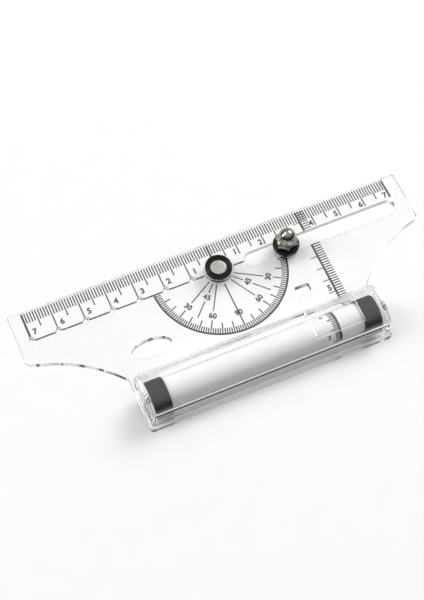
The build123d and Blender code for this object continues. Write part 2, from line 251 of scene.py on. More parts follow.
@dataclass(frozen=True)
class ClearPlastic(Finish):
    """Polished clear moulding, very slightly cool, with faint handling marks."""

    name: str = "clear moulded plastic"
    slot: Slot = Slot.CLEAR
    tint: tuple = (1.0, 1.0, 1.0)
    index: float = 1.49
    polish: float = 0.004
    smear: float = 0.03
    lets_through: tuple = (0.998, 0.998, 0.998)
    kept: tuple = (0.1, 0.12, 0.16)
    density: float = 5.0
    smear_scale: float = 55.0
    hairline_scale: float = 900.0
    hairline_stretch: tuple = (1.0, 0.06, 1.0)
    hairline_depth: float = 0.002 * MM
    hairline_strength: float = 0.06
    wave_scale: float = 30.0
    wave_depth: float = 0.2 * MM
    wave_strength: float = 0.05

    def surface(self, bench: NodeBench) -> Socket:
        """Refracting plastic that lamps shine through without a hard shadow."""
        smears = self.noise(bench, self.smear_scale, detail=4.0)
        roughness = self.span(bench, smears, self.polish, self.smear)
        hairlines = self.noise(bench, self.hairline_scale, 2.0, self.hairline_stretch)
        flow = self.noise(bench, self.wave_scale, detail=1.0)
        fine = self.bump(bench, hairlines, self.hairline_depth, self.hairline_strength)
        waves = self.bump(bench, flow, self.wave_depth, self.wave_strength, fine)
        plastic = bench.add(
            "ShaderNodeBsdfPrincipled",
            {
                "Base Color": (*self.tint, 1.0),
                "IOR": self.index,
                "Roughness": roughness,
                "Transmission Weight": 1.0,
                "Normal": waves,
            },
        )
        passing = bench.add("ShaderNodeBsdfTransparent", {"Color": (*self.lets_through, 1.0)})
        path = bench.add("ShaderNodeLightPath")
        shader = plastic.outputs[0]
        for ray in ("Is Shadow Ray", "Is Diffuse Ray"):
            inputs = {0: path.outputs[ray], 1: shader, 2: passing.outputs[0]}
            shader = bench.out("ShaderNodeMixShader", inputs)
        return shader

    def inside(self, bench: NodeBench) -> Socket:
        """The slight greying of light that is piped a long way through the plastic."""
        inputs = {"Color": (*self.kept, 1.0), "Density": self.density}
        return bench.out("ShaderNodeVolumeAbsorption", inputs)


@dataclass(frozen=True)
class OpaquePlastic(Finish):
    """Moulded or printed opaque surface with a fine grain and a little colour drift."""

    name: str
    pale: tuple
    deep: tuple
    smooth: float
    dull: float
    slot: Optional[Slot] = None
    grain: float = 2600.0
    grain_depth: float = 0.02 * MM
    grain_strength: float = 0.15
    drawn_along: tuple = (1.0, 1.0, 1.0)
    shine: float = 0.5
    drift_scale: float = 110.0
    gloss_scale: float = 260.0

    def surface(self, bench: NodeBench) -> Socket:
        """Principled shader with drift in colour and gloss, and a grain bump."""
        drift = self.noise(bench, self.drift_scale, detail=4.0)
        colour = self.blend(bench, self.span(bench, drift, 0.0, 1.0), self.pale, self.deep)
        gloss = self.noise(bench, self.gloss_scale, 4.0, self.drawn_along)
        roughness = self.span(bench, gloss, self.smooth, self.dull)
        grain = self.noise(bench, self.grain, stretch=self.drawn_along)
        normal = self.bump(bench, grain, self.grain_depth, self.grain_strength)
        inputs = {
            "Base Color": colour,
            "Roughness": roughness,
            "Specular IOR Level": self.shine,
            "Normal": normal,
        }
        return bench.out("ShaderNodeBsdfPrincipled", inputs)


@dataclass(frozen=True)
class PlatedMetal(Finish):
    """Plated or drawn metal with fine wear and turned or drawn scratches."""

    name: str
    pale: tuple
    deep: tuple
    smooth: float
    dull: float
    slot: Slot = Slot.NICKEL
    scratch_stretch: tuple = (1.0, 1.0, 1.0)
    scratch_scale: float = 3000.0
    scratch_depth: float = 0.01 * MM
    scratch_strength: float = 0.12
    drift_scale: float = 400.0
    wear_scale: float = 700.0

    def surface(self, bench: NodeBench) -> Socket:
        """Metal whose gloss and colour vary with handling."""
        drift = self.noise(bench, self.drift_scale, detail=4.0)
        colour = self.blend(bench, self.span(bench, drift, 0.0, 1.0), self.pale, self.deep)
        scratches = self.noise(bench, self.scratch_scale, stretch=self.scratch_stretch)
        wear = self.noise(bench, self.wear_scale, detail=5.0)
        roughness = self.span(bench, wear, self.smooth, self.dull)
        inputs = {
            "Base Color": colour,
            "Metallic": 1.0,
            "Roughness": roughness,
            "Normal": self.bump(bench, scratches, self.scratch_depth, self.scratch_strength),
        }
        return bench.out("ShaderNodeBsdfPrincipled", inputs)


CLEAR = ClearPlastic()
INK = OpaquePlastic(
    "black printing ink", (0.006, 0.006, 0.007), (0.016, 0.016, 0.018), 0.42, 0.6, grain=6000.0
)
WHITE = OpaquePlastic(
    "white drawn tube", (0.86, 0.87, 0.855), (0.82, 0.83, 0.81), 0.22, 0.34,
    Slot.WHITE, grain=1800.0, grain_strength=0.05, drawn_along=(0.05, 1.0, 1.0),
)
BLACK = OpaquePlastic(
    "black moulded plastic", (0.004, 0.004, 0.005), (0.012, 0.012, 0.013), 0.14, 0.28,
    Slot.BLACK, grain_strength=0.1, shine=0.25,
)
RUBBER = OpaquePlastic(
    "black rubber", (0.009, 0.009, 0.010), (0.018, 0.018, 0.02), 0.4, 0.55,
    Slot.RUBBER, grain=1500.0, grain_depth=0.04 * MM, grain_strength=0.3, shine=0.4,
)
NICKEL = PlatedMetal("bright nickel plate", (0.42, 0.4, 0.36), (0.3, 0.29, 0.26), 0.05, 0.13)
SATIN_NICKEL = PlatedMetal("satin nickel disc", (0.56, 0.55, 0.51), (0.45, 0.44, 0.41), 0.2, 0.36)
STEEL = PlatedMetal(
    "drawn steel", (0.56, 0.57, 0.58), (0.4, 0.41, 0.42), 0.2, 0.36, Slot.STEEL, (0.04, 1.0, 1.0)
)
FLOOR = OpaquePlastic(
    "pale table top", (0.9, 0.9, 0.9), (0.885, 0.885, 0.885), 0.5, 0.62,
    grain=700.0, grain_strength=0.04,
)


# ---------------------------------------------------------------- mesh helpers


def new_object(name: str, data: bpy.types.ID) -> Object:
    """Puts a mesh, curve, lamp or camera into the scene as an object at the origin."""
    obj = bpy.data.objects.new(name, data)
    bpy.context.scene.collection.objects.link(obj)
    return obj


def mesh_from(name: str, bm: bmesh.types.BMesh) -> Mesh:
    """Turns a bmesh into a mesh and frees it."""
    mesh = bpy.data.meshes.new(name)
    bm.to_mesh(mesh)
    bm.free()
    return mesh


def merged(name: str, meshes: Iterable[Mesh]) -> Mesh:
    """One mesh that holds several, which are removed."""
    bm = bmesh.new()
    for mesh in list(meshes):
        bm.from_mesh(mesh)
        bpy.data.meshes.remove(mesh)
    return mesh_from(name, bm)


def shade(mesh: Mesh, angle: float = 32.0) -> Mesh:
    """Smooth shading with edges sharper than an angle, in degrees, kept crisp."""
    mesh.shade_smooth()
    mesh.set_sharp_from_angle(angle=math.radians(angle))
    return mesh


def finish_piece(name: str, mesh: Mesh, body: Body, finish: Finish, node: str = "") -> Object:
    """Makes a piece of a mesh, with its material and body.

    Args:
        name: name of the piece.
        mesh: its finished mesh.
        body: body that it moves with.
        finish: its finish.
        node: CAD node that it stands for, where there is one.

    Returns:
        The piece's object.
    """
    obj = new_object(name, mesh)
    obj.data.materials.clear()
    obj.data.materials.append(finish.material())
    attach(obj, body.value)
    if node:
        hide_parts(node)
    log.info("%s: %d faces on %s", obj.name, len(obj.data.polygons), body.value)
    return obj


def middle(node: str) -> Vector:
    """Centre of a CAD node's box."""
    low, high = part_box(node)
    return (low + high) / 2


def dress_node(node: str, finish: Finish) -> None:
    """Gives a CAD node that is shown as it is its finish, in every material slot."""
    obj = bpy.data.objects[node]
    if not obj.data.materials:
        obj.data.materials.append(None)
    for place in obj.material_slots:
        place.material = finish.material()
    log.info("%s: CAD mesh in %s", node, finish.name)


@dataclass(frozen=True)
class Corner:
    """One corner of a turned profile: radius and height, and how far it is rounded."""

    radius: float
    height: float
    rounding: float = 0.0


def rounded_profile(corners: Sequence[Corner], steps: int = 4) -> list:
    """Points of a closed profile with its corners rounded by arcs.

    Args:
        corners: corners in order round the profile.
        steps: segments in each arc.

    Returns:
        (radius, height) pairs.
    """
    points = []
    count = len(corners)
    for number, corner in enumerate(corners):
        here = Vector((corner.radius, corner.height))
        if corner.rounding <= 0:
            points.append(tuple(here))
            continue
        before = corners[number - 1]
        after = corners[(number + 1) % count]
        back = (Vector((before.radius, before.height)) - here).normalized()
        on = (Vector((after.radius, after.height)) - here).normalized()
        half = back.angle(on) / 2
        reach = corner.rounding / math.tan(half)
        middle = here + (back + on).normalized() * (corner.rounding / math.sin(half))
        start = here + back * reach - middle
        end = here + on * reach - middle
        sweep = start.angle_signed(end)
        for step in range(steps + 1):
            turned = start.copy()
            turned.rotate(Matrix.Rotation(-sweep * step / steps, 2))
            points.append(tuple(middle + turned))
    return points


def turned(
    name: str,
    corners: Sequence[Corner],
    centre: Vector,
    along_x: bool = False,
    sides: int = 96,
    arc_steps: int = 4,
) -> Mesh:
    """Mesh turned round an axis from a closed profile.

    Args:
        name: name of the mesh.
        corners: profile corners; a radius of zero lies on the axis.
        centre: point of the axis that heights are measured from.
        along_x: whether the axis lies along X instead of Z.
        sides: steps round the axis.
        arc_steps: segments in each rounded corner.

    Returns:
        The closed mesh, with its faces outwards.
    """
    bm = bmesh.new()
    rings = []
    for radius, height in rounded_profile(corners, arc_steps):
        if radius < ON_AXIS:
            rings.append([bm.verts.new((0.0, 0.0, height))])
            continue
        angles = [math.tau * side / sides for side in range(sides)]
        points = [(radius * math.cos(angle), radius * math.sin(angle), height) for angle in angles]
        rings.append([bm.verts.new(point) for point in points])
    for number, ring in enumerate(rings):
        last = rings[number - 1]
        for side in range(sides):
            following = (side + 1) % sides
            loop = [
                last[side % len(last)],
                last[following % len(last)],
                ring[following % len(ring)],
                ring[side % len(ring)],
            ]
            unique = list(dict.fromkeys(loop))
            if len(unique) > 2:
                bm.faces.new(unique)
    bmesh.ops.recalc_face_normals(bm, faces=bm.faces)
    turn = Matrix.Rotation(math.pi / 2, 4, "Y") if along_x else Matrix.Identity(4)
    bmesh.ops.transform(bm, matrix=Matrix.Translation(centre) @ turn, verts=bm.verts)
    return shade(mesh_from(name, bm))


def softened_copy(
    node: str,
    name: str,
    width: float,
    lift: float = 0.0,
    flat_within: float = 0.4,
    rounded_above: float = 28.0,
    crisp_above: float = 60.0,
) -> Mesh:
    """Copy of a CAD node with its sharp edges rounded as a moulding's are.

    Args:
        node: CAD node to copy.
        name: name of the mesh.
        width: width of the rounding.
        lift: how far the lowest face is raised, so that it doesn't share a plane with its seat.
        flat_within: triangles that meet at less than this, in degrees, become one face.
        rounded_above: edges sharper than this are rounded.
        crisp_above: edges sharper than this are shaded as edges.

    Returns:
        The mesh, shaded so that its flat faces stay flat.
    """
    bm = bmesh.new()
    bm.from_mesh(bpy.data.objects[node].data)
    bmesh.ops.remove_doubles(bm, verts=bm.verts, dist=SAME_POINT)
    bmesh.ops.dissolve_limit(
        bm, angle_limit=math.radians(flat_within), verts=bm.verts, edges=bm.edges, delimit=set()
    )
    floor = min(vert.co.z for vert in bm.verts)
    for vert in bm.verts:
        if vert.co.z - floor < SEAT_GAP:
            vert.co.z += lift
    mesh = mesh_from(name, bm)
    obj = new_object(name + "_blank", mesh)
    bevel = obj.modifiers.new("rounding", "BEVEL")
    bevel.width = width
    bevel.segments = ROUND_STEPS
    bevel.limit_method = "ANGLE"
    bevel.angle_limit = math.radians(rounded_above)
    bevel.use_clamp_overlap = True
    weighted = obj.modifiers.new("flat faces", "WEIGHTED_NORMAL")
    weighted.keep_sharp = True
    shade(mesh, crisp_above)
    return baked(obj, name)


def baked(obj: Object, name: str) -> Mesh:
    """The mesh of an object with its modifiers applied; the object goes."""
    bpy.context.view_layer.update()
    graph = bpy.context.evaluated_depsgraph_get()
    result = bpy.data.meshes.new_from_object(obj.evaluated_get(graph), depsgraph=graph)
    result.name = name
    bpy.data.batch_remove((obj, obj.data))
    return result


# ---------------------------------------------------------------- geometry nodes


class Ranks(Enum):
    """How often a graduation is a longer one."""

    MIDDLE = 5
    LONG = 10


class GrowingTree:
    """Base of the Geometry Nodes trees: named inputs, marks made real, and their material."""

    NAME: str
    INPUTS: tuple               # names of inputs, and the kind of socket that they share

    @classmethod
    def tree(cls) -> NodeTree:
        """The tree, made when it is first asked for."""
        return bpy.data.node_groups.get(cls.NAME) or cls.build()

    @classmethod
    def build(cls) -> NodeTree:
        """Makes the tree with its named inputs."""
        tree = bpy.data.node_groups.new(cls.NAME, "GeometryNodeTree")
        for names, kind in cls.INPUTS:
            for name in names:
                tree.interface.new_socket(name, in_out="INPUT", socket_type="NodeSocket" + kind)
        tree.interface.new_socket("Geometry", in_out="OUTPUT", socket_type="NodeSocketGeometry")
        bench = NodeBench(tree)
        given = bench.add("NodeGroupInput").outputs
        marks = cls.marks(bench, given, bench.out("GeometryNodeInputIndex"))
        real = bench.out("GeometryNodeRealizeInstances", {"Geometry": marks})
        dressed = bench.out(
            "GeometryNodeSetMaterial", {"Geometry": real, "Material": given["Material"]}
        )
        bench.add("NodeGroupOutput", {"Geometry": dressed})
        return tree

    @classmethod
    def marks(cls, bench: NodeBench, given: Any, index: Socket) -> Socket:
        """The instances that the tree lays, from its inputs and the index of a point."""
        raise NotImplementedError

    @staticmethod
    def row(bench: NodeBench, count: Any, place: Socket) -> Socket:
        """A number of points, each at its place."""
        line = {"Count": count, "Offset": (0.0, 0.0, 0.0)}
        points = bench.out("GeometryNodeMeshLine", line)
        inputs = {"Geometry": points, "Position": place}
        return bench.out("GeometryNodeSetPosition", inputs)

    @staticmethod
    def rotation(bench: NodeBench, euler: Socket) -> Socket:
        """Euler angles as a rotation."""
        return bench.out("FunctionNodeEulerToRotation", {0: euler})


class GraduationTree(GrowingTree):
    """Geometry Nodes tree that lays a numbered run of printed ticks.

    Tick number n stands at n times Step and is turned by n times Turn, so that a run can be
    straight, an arc or a ring. Each tick starts at Seat and reaches down its own -Y.
    """

    NAME = "printed graduations"
    NEAR = 0.1                  # whole numbers closer than this are the same
    INPUTS = (
        (("Width", "Short", "Middle", "Long", "Film"), "Float"),
        (("Step", "Turn", "Seat", "Seat Turn"), "Vector"),
        (("First", "Count", "Middle Every", "Long Every"), "Int"),
        (("Material",), "Material"),
    )

    @classmethod
    def marks(cls, bench: NodeBench, given: Any, index: Socket) -> Socket:
        """The ticks: a bar on each point, turned to its place and as long as its rank."""
        number = bench.maths("ADD", index, given["First"])
        turn = cls.rotation(bench, bench.scaled(given["Turn"], number))
        seat_turn = cls.rotation(bench, given["Seat Turn"])
        seated = bench.out("FunctionNodeRotateVector", {0: given["Seat"], 1: turn})
        place = bench.vector("ADD", seated, bench.scaled(given["Step"], number))
        facing = bench.out(
            "FunctionNodeRotateRotation", {0: seat_turn, 1: turn}, rotation_space="GLOBAL"
        )
        size = bench.out(
            "ShaderNodeCombineXYZ",
            {"X": given["Width"], "Y": cls.length(bench, given, number), "Z": given["Film"]},
        )
        mark = bench.out("GeometryNodeMeshCube", {"Size": (1.0, 1.0, 1.0)})
        hung = bench.out(
            "GeometryNodeTransform", {"Geometry": mark, "Translation": (0.0, -0.5, 0.0)}
        )
        points = cls.row(bench, given["Count"], place)
        inputs = {"Points": points, "Instance": hung, "Rotation": facing, "Scale": size}
        return bench.out("GeometryNodeInstanceOnPoints", inputs)

    @classmethod
    def length(cls, bench: NodeBench, given: Any, number: Socket) -> Socket:
        """Length of tick number n: long, middle or short."""
        chosen = given["Short"]
        for every, longer in (("Middle Every", "Middle"), ("Long Every", "Long")):
            rest = bench.maths("FLOORED_MODULO", number, given[every])
            on_rank = bench.maths("COMPARE", rest, 0.0, cls.NEAR)
            mix = bench.add("ShaderNodeMix", {"Factor": on_rank}, data_type="FLOAT")
            bench.tree.links.new(chosen, mix.inputs[2])
            bench.tree.links.new(given[longer], mix.inputs[3])
            chosen = mix.outputs[0]
        return chosen


class RibTree(GrowingTree):
    """Geometry Nodes tree that sets round-backed ribs about an axis along X."""

    NAME = "ring ribs"
    INPUTS = (
        (("Count", "Sides"), "Int"),
        (("Length", "Rib Radius", "Pitch Radius"), "Float"),
        (("Centre",), "Vector"),
        (("Material",), "Material"),
    )

    @classmethod
    def marks(cls, bench: NodeBench, given: Any, index: Socket) -> Socket:
        """The ribs: a bar along X on each point of the circle."""
        angle = bench.maths("DIVIDE", bench.maths("MULTIPLY", index, math.tau), given["Count"])
        turn = bench.out("ShaderNodeCombineXYZ", {"X": angle})
        rotation = cls.rotation(bench, turn)
        out = bench.out("ShaderNodeCombineXYZ", {"Z": given["Pitch Radius"]})
        seat = bench.out("FunctionNodeRotateVector", {0: out, 1: rotation})
        place = bench.vector("ADD", seat, given["Centre"])
        bar = bench.add(
            "GeometryNodeMeshCylinder",
            {"Vertices": given["Sides"], "Radius": given["Rib Radius"], "Depth": given["Length"]},
        ).outputs["Mesh"]
        laid = bench.out(
            "GeometryNodeTransform", {"Geometry": bar, "Rotation": (0.0, math.pi / 2, 0.0)}
        )
        points = cls.row(bench, given["Count"], place)
        inputs = {"Points": points, "Instance": laid, "Rotation": rotation}
        return bench.out("GeometryNodeInstanceOnPoints", inputs)


def grown(name: str, tree: NodeTree, values: dict) -> Mesh:
    """Plain mesh that a Geometry Nodes tree makes from named values.

    Args:
        name: name of the mesh.
        tree: the tree.
        values: value of each named input.

    Returns:
        The mesh, with the modifier gone.
    """
    obj = new_object(name + "_seed", bpy.data.meshes.new(name + "_seed"))
    modifier = obj.modifiers.new("grow", "NODES")
    modifier.node_group = tree
    for item in tree.interface.items_tree:
        if item.item_type == "SOCKET" and item.in_out == "INPUT" and item.name in values:
            modifier[item.identifier] = values[item.name]
    return baked(obj, name)


@dataclass(frozen=True)
class Graduations:
    """One run of printed ticks."""

    first: int
    last: int
    step: tuple = (0.0, 0.0, 0.0)
    turn: tuple = (0.0, 0.0, 0.0)
    seat: tuple = (0.0, 0.0, 0.0)
    seat_turn: tuple = (0.0, 0.0, 0.0)
    width: float = 0.48 * MM
    short: float = 4.15 * MM
    middle: float = 6.65 * MM
    long: float = 7.85 * MM
    middle_every: int = Ranks.MIDDLE.value
    long_every: int = Ranks.LONG.value

    def mesh(self, name: str, place: Matrix) -> Mesh:
        """The run's mesh, with number 0 of it where a matrix puts it."""
        values = {key.replace("_", " ").title(): value for key, value in asdict(self).items()}
        values.update(Count=self.last - self.first + 1, Film=FILM, Material=INK.material())
        mesh = grown(name, GraduationTree.tree(), values)
        mesh.transform(place)
        return mesh


# ---------------------------------------------------------------- printing


class Printer:
    """Makes single printed strokes, arcs and numerals as thin closed meshes.

    What it prints darkens no table under it, as ink this thin doesn't in soft light.
    """

    ARC_STEP = 1.5              # degrees in each straight bit of an arc

    def __init__(self, height: float) -> None:
        self.height = height
        self.parts: list = []

    def over(self, point: Vector) -> Matrix:
        """Move from the origin to a point of the printed face."""
        return Matrix.Translation((point.x, point.y, self.height))

    def stroke(self, start: Vector, end: Vector, width: float) -> None:
        """Adds a straight stroke between two points of the printed face."""
        run = end - start
        turn = Matrix.Rotation(math.atan2(run.y, run.x), 4, "Z")
        size = Matrix.Diagonal((run.length, width, FILM, 1.0))
        bm = bmesh.new()
        place = self.over((start + end) / 2)
        bmesh.ops.create_cube(bm, size=1.0, matrix=place @ turn @ size)
        self.parts.append(mesh_from("stroke", bm))

    def arc(self, centre: Vector, radius: float, start: float, end: float, width: float) -> None:
        """Adds a stroke along an arc; angles are in degrees."""
        steps = max(2, int(abs(end - start) / self.ARC_STEP))
        bm = bmesh.new()
        rings = []
        for step in range(steps + 1):
            angle = math.radians(start + (end - start) * step / steps)
            ring = []
            for reach in (radius - width / 2, radius + width / 2):
                for level in (-FILM / 2, FILM / 2):
                    place = (
                        centre.x + reach * math.cos(angle),
                        centre.y + reach * math.sin(angle),
                        self.height + level,
                    )
                    ring.append(bm.verts.new(place))
            rings.append([ring[0], ring[1], ring[3], ring[2]])
        for last, ring in zip(rings, rings[1:]):
            for corner in range(4):
                following = (corner + 1) % 4
                bm.faces.new((last[corner], last[following], ring[following], ring[corner]))
        bm.faces.new(rings[0])
        bm.faces.new(rings[-1])
        bmesh.ops.recalc_face_normals(bm, faces=bm.faces)
        self.parts.append(mesh_from("arc", bm))

    def numeral(self, text: str, centre: Vector, tall: float, angle: float = 0.0) -> None:
        """Adds a numeral centred on a point, turned by an angle in degrees."""
        mesh = numeral_mesh(text, tall)
        mesh.transform(self.over(centre) @ Matrix.Rotation(math.radians(angle), 4, "Z"))
        self.parts.append(mesh)

    def add(self, mesh: Mesh) -> None:
        """Adds a mesh made elsewhere."""
        self.parts.append(mesh)

    def piece(self, name: str, body: Body) -> Object:
        """Joins what was printed into one piece on a body."""
        obj = finish_piece(name, merged(name, self.parts), body, INK)
        obj.visible_shadow = False
        obj.visible_diffuse = False
        return obj


def numeral_mesh(text: str, tall: float) -> Mesh:
    """Thin solid numeral, centred on the origin and facing +Z."""
    curve = bpy.data.curves.new("numeral", "FONT")
    curve.body = text
    curve.size = tall / CAP_SHARE
    curve.offset = BOLDNESS * curve.size
    curve.extrude = FILM / 2
    curve.resolution_u = ROUND_STEPS
    mesh = baked(new_object("numeral", curve), "numeral")
    x, y = (
        (min(reach) + max(reach)) / 2
        for reach in ([vert.co[axis] for vert in mesh.vertices] for axis in range(2))
    )
    mesh.transform(Matrix.Translation((-x, -y, 0.0)))
    return mesh


# ---------------------------------------------------------------- sub-assemblies


class Layout:
    """Places that several sub-assemblies share, read from the frame."""

    def __init__(self) -> None:
        """Reads the boxes of the nodes that the places come from."""
        low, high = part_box("ruler_plate")
        self.edge_y = high.y
        self.under = low.z
        self.plate_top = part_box("roller_cover")[0].z
        low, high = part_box("rubber_ring_left")
        self.ring_radius = (high.y - low.y) / 2
        self.roller_centre = Vector((0.0, *middle("rubber_ring_left").yz))
        self.pivot = Vector((0.0, middle("pivot_bezel").y, 0.0))

    def at(self, x: float, from_edge: float) -> Vector:
        """Point of the printed face, in millimetres along and in from the scale edge."""
        return Vector((x * MM, self.edge_y - from_edge * MM, 0.0))

    def printer(self) -> Printer:
        """A printer for the plate's underside."""
        return Printer(self.under - INK_GAP - FILM / 2)


@dataclass
class SubAssembly:
    """Base of the sub-assemblies: knows the shared places and builds its pieces."""

    layout: Layout

    def build(self) -> None:
        """Makes the pieces and dresses them."""
        raise NotImplementedError


@dataclass
class ClearBody(SubAssembly):
    """The clear mouldings: the plate, the roller's cover and the reading window."""

    edge_rounding: float = 0.16 * MM
    cover_rounding: float = 0.3 * MM
    window_rounding: float = 0.12 * MM

    def build(self) -> None:
        """Makes the mouldings with rounded edges."""
        for node, rounding, lift in (
            ("ruler_plate", self.edge_rounding, 0.0),
            ("roller_cover", self.cover_rounding, SEAT_GAP),
            ("reading_window", self.window_rounding, 0.0),
        ):
            name = node + "_moulding"
            mesh = softened_copy(node, name, rounding, lift)
            finish_piece(name, mesh, Body.RULER, CLEAR, node)


@dataclass
class EdgeScale(SubAssembly):
    """The 7-0-7 scale along the bevelled edge; places and lengths are in millimetres."""

    reach: int = 7                  # centimetres each side of zero
    inset: float = 0.4              # ticks start this far in from the edge
    long_left: float = 9.75
    long_right: float = 7.85
    zero_overlap: float = 0.4       # the zero tick runs this far under the boss
    baseline: float = 11.66
    diamond_half: tuple = (1.3, 1.5)
    gap_before: float = 0.05        # from the baseline to a pencil hole
    gap_after: float = 0.15
    overlap: float = 0.1            # of strokes that meet
    boss_radius: float = 5.45
    slot_start: float = 9.85
    line: float = 0.56 * MM
    thick: float = 0.8 * MM
    tall: float = 2.15 * MM
    left_numeral: tuple = (2.35, 8.4)   # on the zero side of its tick, in from the edge
    right_numeral: tuple = (1.4, 6.7)

    def build(self) -> None:
        """Prints the scale."""
        printer = self.layout.printer()
        last = int(PER_CENTIMETRE * self.reach) - 1
        origin = printer.over(self.layout.at(0.0, self.inset))
        step = (MM, 0.0, 0.0)
        left = Graduations(-last, -1, step=step, long=self.long_left * MM)
        right = Graduations(1, last, step=step, long=self.long_right * MM)
        printer.add(left.mesh("left ticks", origin))
        printer.add(right.mesh("right ticks", origin))
        self.ends(printer)
        self.base(printer)
        self.numerals(printer)
        printer.piece("edge_scale_print", Body.RULER)

    def ends(self, printer: Printer) -> None:
        """Prints the thick ticks at zero and at both ends."""
        far = PER_CENTIMETRE * self.reach
        boss_top = self.baseline - self.boss_radius
        for place, reach in (
            (-far, self.inset + self.long_left),
            (0.0, boss_top + self.zero_overlap),
            (far, self.inset + self.long_right),
        ):
            start = self.layout.at(place, self.inset)
            printer.stroke(start, self.layout.at(place, reach), self.thick)

    def base(self, printer: Printer) -> None:
        """Prints the baseline, broken at the pencil holes, with a slant along each hole."""
        at, baseline = self.layout.at, self.baseline
        half_width, half_depth = self.diamond_half
        top = baseline - half_depth - self.overlap
        for number in range(1, self.reach + 1):
            hole = -PER_CENTIMETRE * number
            right = hole + half_width + self.gap_after
            next_hole = hole + PER_CENTIMETRE - half_width - self.gap_before
            stop = next_hole if number > 1 else -self.boss_radius
            printer.stroke(at(right - self.overlap, baseline), at(stop, baseline), self.line)
            printer.stroke(at(hole, top), at(right, baseline), self.line)
        start, end = at(self.boss_radius, baseline), at(self.slot_start, baseline)
        printer.stroke(start, end, self.line)

    def numerals(self, printer: Printer) -> None:
        """Prints 1 to 7 each side, on the zero side of their ticks."""
        for number in range(1, self.reach + 1):
            for sign, (offset, depth) in ((-1, self.left_numeral), (1, self.right_numeral)):
                place = self.layout.at(sign * (PER_CENTIMETRE * number - offset), depth)
                printer.numeral(str(number), place, self.tall)


@dataclass
class Protractor(SubAssembly):
    """Half circle of degrees about the pivot, with its rays; radii are in millimetres."""

    radius: float = 25.0
    degrees_per_tick: int = 2
    short: float = 2.6 * MM
    long: float = 4.7 * MM
    tick_width: float = 0.45 * MM
    rim: float = 0.68
    rays: tuple = (30, 45, 60, 90, 120, 135, 150)
    half_rays: tuple = (45, 135)    # these stop short of the ticks
    ray: float = 0.42 * MM
    middle_ray: float = 0.5 * MM
    ray_start: float = 5.45
    label_radius: float = 17.65
    half_label_radius: float = 11.1
    half_ray_end: float = 19.8
    label_gap: float = 1.75
    tall: float = 1.95 * MM
    right_start: int = 10           # degrees below the baseline where the slot leaves off
    right_rim_start: float = 9.2

    def build(self) -> None:
        """Prints the protractor."""
        printer = self.layout.printer()
        centre = self.layout.pivot
        ticks = Graduations(
            self.right_start // self.degrees_per_tick,
            180 // self.degrees_per_tick - 1,
            turn=(0.0, 0.0, -math.radians(self.degrees_per_tick)),
            seat=(self.radius * MM, 0.0, 0.0),
            seat_turn=(0.0, 0.0, -math.pi / 2),
            width=self.tick_width,
            short=self.short,
            middle=self.long,
            long=self.long,
        )
        printer.add(ticks.mesh("degrees", printer.over(centre)))
        rim = (self.radius - self.rim / 2) * MM
        printer.arc(centre, rim, -self.right_rim_start, -180.0, self.rim * MM)
        for angle in self.rays:
            self.print_ray(printer, angle)
        printer.piece("protractor_print", Body.RULER)

    def print_ray(self, printer: Printer, angle: int) -> None:
        """Prints one ray with its number; angles run clockwise from the right."""
        out = Vector((math.cos(math.radians(angle)), -math.sin(math.radians(angle)), 0.0))
        half = angle in self.half_rays
        label = self.half_label_radius if half else self.label_radius
        end = self.half_ray_end if half else self.radius
        centre = self.layout.pivot
        gap, width = (0.0, self.middle_ray) if angle == 90 else (self.label_gap, self.ray)
        for start, stop in ((self.ray_start, label - gap), (label + gap, end)):
            printer.stroke(centre + out * start * MM, centre + out * stop * MM, width)
        shown = str(min(angle, 180 - angle))
        printer.numeral(shown, centre + out * label * MM, self.tall, 90.0 - angle)


@dataclass
class CrossScale(SubAssembly):
    """Millimetre scale square to the edge, from the edge to the roller's cover."""

    place: float = 35.0
    start: float = 0.4
    slot: tuple = (9.25, 15.5)      # where the slot breaks it
    end: float = 42.3
    line: float = 0.75 * MM
    tick: float = 3.1 * MM
    tick_width: float = 0.46 * MM
    side_tick: float = 2.75
    side_tick_width: float = 0.34 * MM
    side_ticks: tuple = (5, 20, 25, 30, 35)
    numeral_place: tuple = (33.35, 33.1)
    tall: float = 2.15 * MM

    def build(self) -> None:
        """Prints the scale."""
        at = self.layout.at
        printer = self.layout.printer()
        slot_start, slot_end = self.slot
        for start, end in ((self.start, slot_start), (slot_end, self.end)):
            printer.stroke(at(self.place, start), at(self.place, end), self.line)
            run = Graduations(
                -math.floor(end),
                -math.ceil(start),
                step=(0.0, MM, 0.0),
                seat_turn=(0.0, 0.0, math.pi / 2),
                width=self.tick_width,
                short=self.tick,
                middle=self.tick,
                long=self.tick,
            )
            printer.add(run.mesh("cross ticks", printer.over(at(self.place, 0.0))))
        for depth in self.side_ticks:
            left = at(self.place - self.side_tick, depth)
            printer.stroke(left, at(self.place, depth), self.side_tick_width)
        printer.numeral("5", at(*self.numeral_place), self.tall)
        printer.piece("cross_scale_print", Body.RULER)


